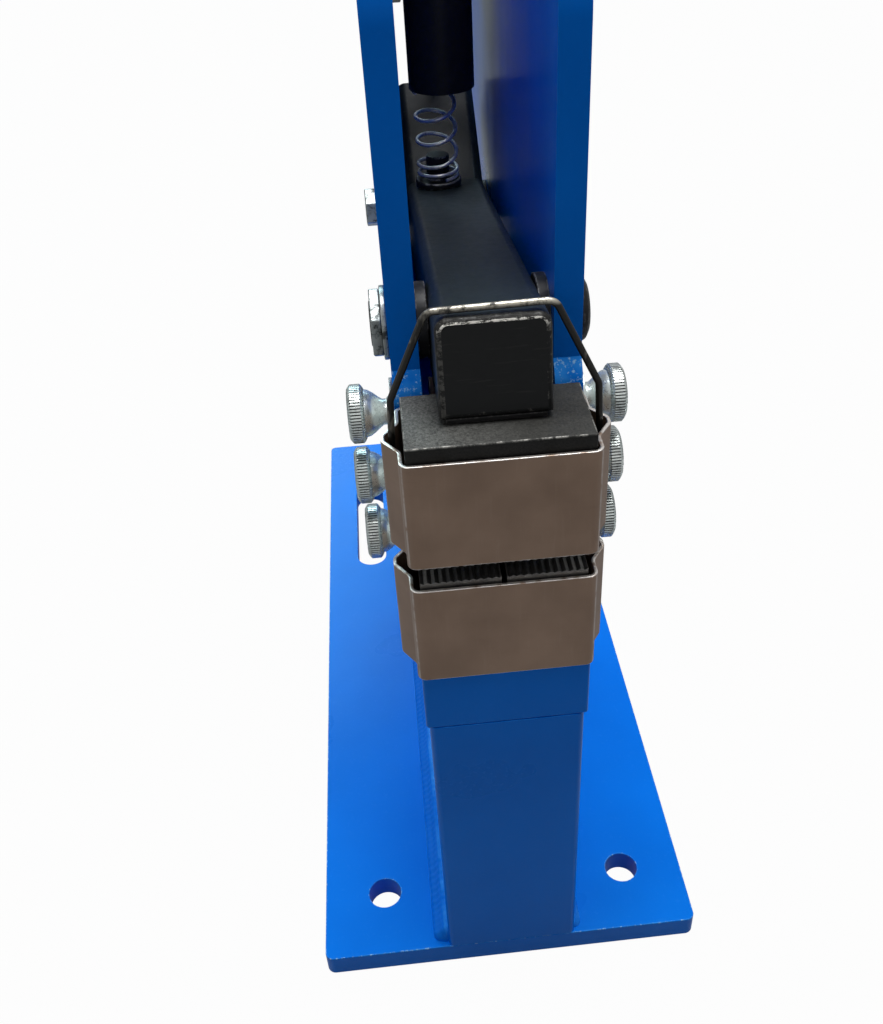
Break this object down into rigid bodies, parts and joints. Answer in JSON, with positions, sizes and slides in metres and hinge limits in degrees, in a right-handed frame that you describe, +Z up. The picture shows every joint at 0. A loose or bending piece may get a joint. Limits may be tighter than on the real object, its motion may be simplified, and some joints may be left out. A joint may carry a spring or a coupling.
{
  "type": "shrinker stretcher",
  "caption": "Bench sheet-metal shrinker stretcher: hand lever, rocker and toothed jaw set on a blue welded frame with a slotted base.",
  "frame": {"origin": "middle of the base plate's front edge, at the base's underside", "axes": "+X to the operator's right, +Y back from the operator, +Z up"},
  "size_m": [0.136, 0.3338, 0.69],
  "materials": {
    "blue_paint": "glossy blue paint",
    "black_satin": "satin black",
    "black_steel": "blackened steel",
    "zinc": "bright zinc plate",
    "casing_steel": "satin steel sheet",
    "phosphate_steel": "dark phosphate",
    "spring_steel": "bright spring steel",
    "grip_rubber": "matte rubber"
  },
  "bodies": {
    "frame": {"base_plate": "blue_paint", "post_tube": "blue_paint", "weld_beads": "blue_paint", "jaw_seat": "blue_paint", "side_plate_left": "blue_paint", "side_plate_right": "blue_paint", "rear_web": "blue_paint", "tie_bolt": "zinc", "tie_sleeve": "black_satin", "pivot_bolt": "black_steel", "pivot_nut": "zinc", "pivot_washer": "zinc", "pivot_spacers": "black_steel", "stop_bolt": "zinc", "stop_sleeve": "black_satin", "handle_bolt": "black_steel", "handle_nut": "zinc", "handle_bolt_washer": "zinc", "handle_washers": "zinc", "thumb_screws_left": "zinc", "thumb_screws_right": "zinc", "thumb_washers": "zinc", "lower_jaw_casing": "casing_steel", "lower_pressure_block": "phosphate_steel", "lower_jaw_bracket": "casing_steel"},
    "rocker": {"rocker_arm": "black_satin", "pressure_foot": "black_steel", "lift_plate": "black_satin", "spring_seat": "black_satin", "return_spring": "spring_steel"},
    "handle": {"handle_bar": "black_satin", "crank_cheeks": "black_satin", "crank_pin": "spring_steel", "handle_grip": "grip_rubber"},
    "upper_jaw": {"upper_jaw_casing": "casing_steel", "upper_pressure_block": "phosphate_steel", "upper_jaw_bracket": "casing_steel", "bail_wire": "black_steel"},
    "upper_half_left": {"upper_jaw_left": "phosphate_steel"},
    "upper_half_right": {"upper_jaw_right": "phosphate_steel"},
    "lower_half_left": {"lower_jaw_left": "phosphate_steel"},
    "lower_half_right": {"lower_jaw_right": "phosphate_steel"}
  },
  "joints": [
    {"name": "handle_pull", "type": "hinge", "parent": "frame", "child": "handle", "pos_m": [0, 0.158, 0.30598], "axis": [1, 0, 0], "range_deg": [0, 40], "stiffness_Nm_per_rad": 3, "springref_deg": -20.05},
    {"name": "rocker_swing", "type": "hinge", "parent": "frame", "child": "rocker", "pos_m": [0, 0.044, 0.2385], "axis": [1, 0, 0], "range_deg": [0, 8.1], "deforming": ["return_spring"]},
    {"name": "upper_jaw_press", "type": "slide", "parent": "frame", "child": "upper_jaw", "axis": [0, 0, -1], "range_m": [0, 0.0044]},
    {"name": "upper_half_left_slide", "type": "slide", "parent": "upper_jaw", "child": "upper_half_left", "axis": [-0.8607, 0, 0.509], "range_m": [0, 0.0012]},
    {"name": "upper_half_right_slide", "type": "slide", "parent": "upper_jaw", "child": "upper_half_right", "axis": [0.8607, 0, 0.509], "range_m": [0, 0.0012]},
    {"name": "lower_half_left_slide", "type": "slide", "parent": "frame", "child": "lower_half_left", "axis": [-0.8607, 0, -0.509], "range_m": [0, 0.0012]},
    {"name": "lower_half_right_slide", "type": "slide", "parent": "frame", "child": "lower_half_right", "axis": [0.8607, 0, -0.509], "range_m": [0, 0.0012]}
  ],
  "couplings": [
    {"joint": "rocker_swing", "follows": "handle_pull", "ratio": 0.2},
    {"joint": "upper_jaw_press", "follows": "handle_pull", "m_per_rad": 0.00625},
    {"joint": "upper_half_left_slide", "follows": "handle_pull", "m_per_rad": 0.0017},
    {"joint": "upper_half_right_slide", "follows": "handle_pull", "m_per_rad": 0.0017},
    {"joint": "lower_half_left_slide", "follows": "handle_pull", "m_per_rad": 0.0017},
    {"joint": "lower_half_right_slide", "follows": "handle_pull", "m_per_rad": 0.0017}
  ]
}
